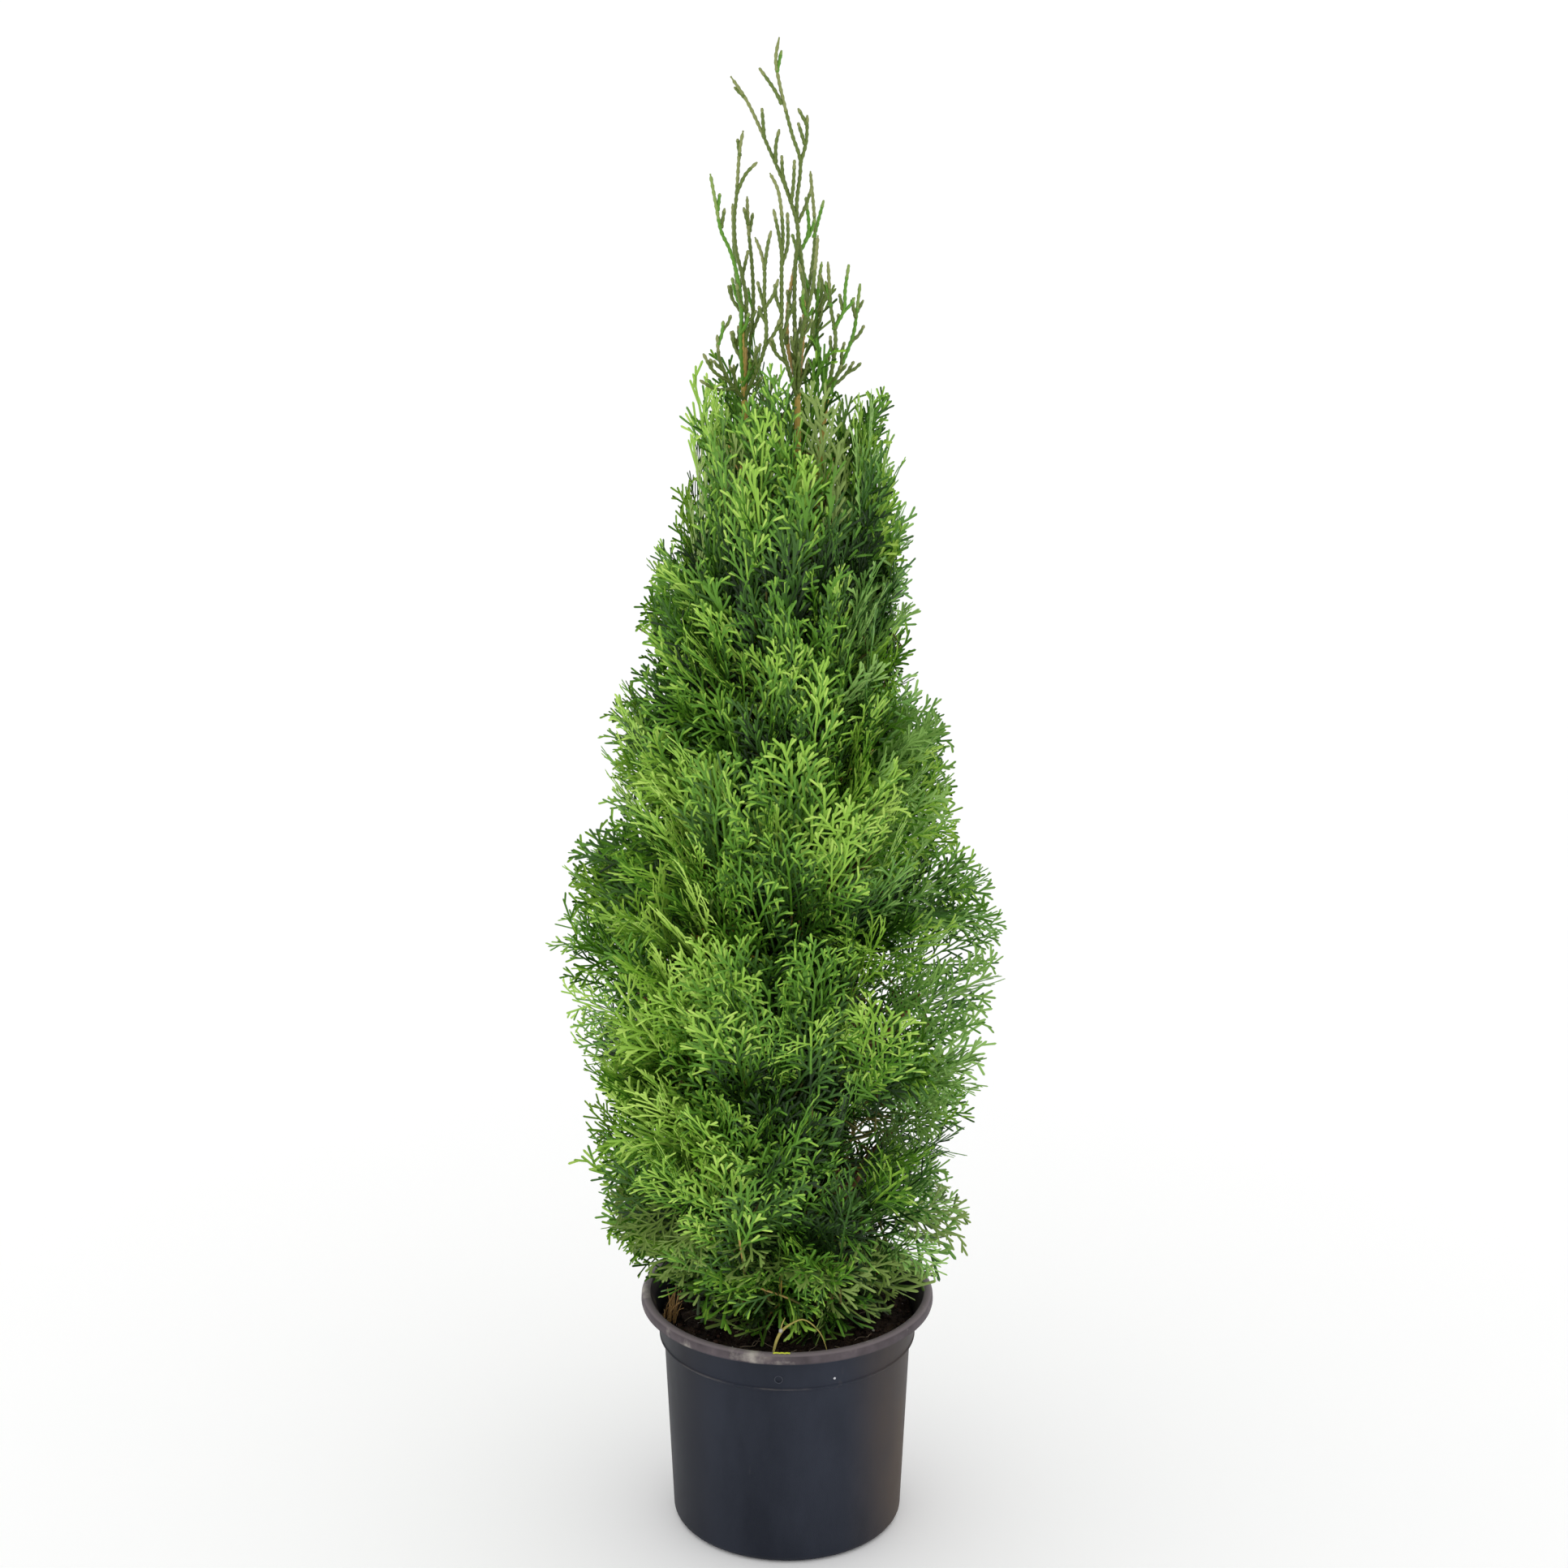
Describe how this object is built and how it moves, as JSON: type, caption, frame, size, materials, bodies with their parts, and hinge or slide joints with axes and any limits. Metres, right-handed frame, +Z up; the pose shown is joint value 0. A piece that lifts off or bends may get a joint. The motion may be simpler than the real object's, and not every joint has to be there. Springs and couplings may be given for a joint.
{
  "type": "potted thuja",
  "caption": "Young thuja conifer in a round black nursery pot: upright stems, ascending boughs and a slim cone of flat, feathery green sprays with open leading shoots.",
  "frame": {"origin": "the middle of the flat underside of the pot", "axes": "+Z up along the trunk, -Y towards the viewer's front, +X to the viewer's right"},
  "size_m": [0.3933, 0.365, 1.4071],
  "materials": {
    "pot": "moulded charcoal plastic, dusty, with a paler worn rim",
    "compost": "moist dark compost, crumbly, with pale specks",
    "bark": "thin red-brown bark, stringy and dull",
    "foliage": "scale-leaved sprays, waxy green, brighter at the tips"
  },
  "bodies": {
    "root": {"pot": "pot", "soil": "compost", "trunk": "bark", "stem_left": "bark", "stem_right": "bark", "bough_skirt_1": "bark", "bough_skirt_2": "bark", "bough_skirt_3": "bark", "bough_skirt_4": "bark", "bough_skirt_5": "bark", "bough_skirt_6": "bark", "bough_lower_1": "bark", "bough_lower_2": "bark", "bough_lower_3": "bark", "bough_lower_4": "bark", "bough_lower_5": "bark", "bough_middle_1": "bark", "bough_middle_2": "bark", "bough_middle_3": "bark", "bough_middle_4": "bark", "bough_middle_5": "bark", "bough_upper_1": "bark", "bough_upper_2": "bark", "bough_upper_3": "bark", "bough_upper_4": "bark", "foliage_skirt_1": "foliage", "foliage_skirt_2": "foliage", "foliage_skirt_3": "foliage", "foliage_skirt_4": "foliage", "foliage_skirt_5": "foliage", "foliage_skirt_6": "foliage", "foliage_lower_1": "foliage", "foliage_lower_2": "foliage", "foliage_lower_3": "foliage", "foliage_lower_4": "foliage", "foliage_lower_5": "foliage", "foliage_middle_1": "foliage", "foliage_middle_2": "foliage", "foliage_middle_3": "foliage", "foliage_middle_4": "foliage", "foliage_middle_5": "foliage", "foliage_upper_1": "foliage", "foliage_upper_2": "foliage", "foliage_upper_3": "foliage", "foliage_upper_4": "foliage", "foliage_shoulder_1": "foliage", "foliage_shoulder_2": "foliage", "foliage_shoulder_3": "foliage", "foliage_shoulder_4": "foliage", "foliage_neck_1": "foliage", "foliage_neck_2": "foliage", "foliage_neck_3": "foliage", "foliage_leader_left": "foliage", "foliage_leader_top": "foliage", "foliage_leader_right": "foliage"}
  },
  "joints": []
}
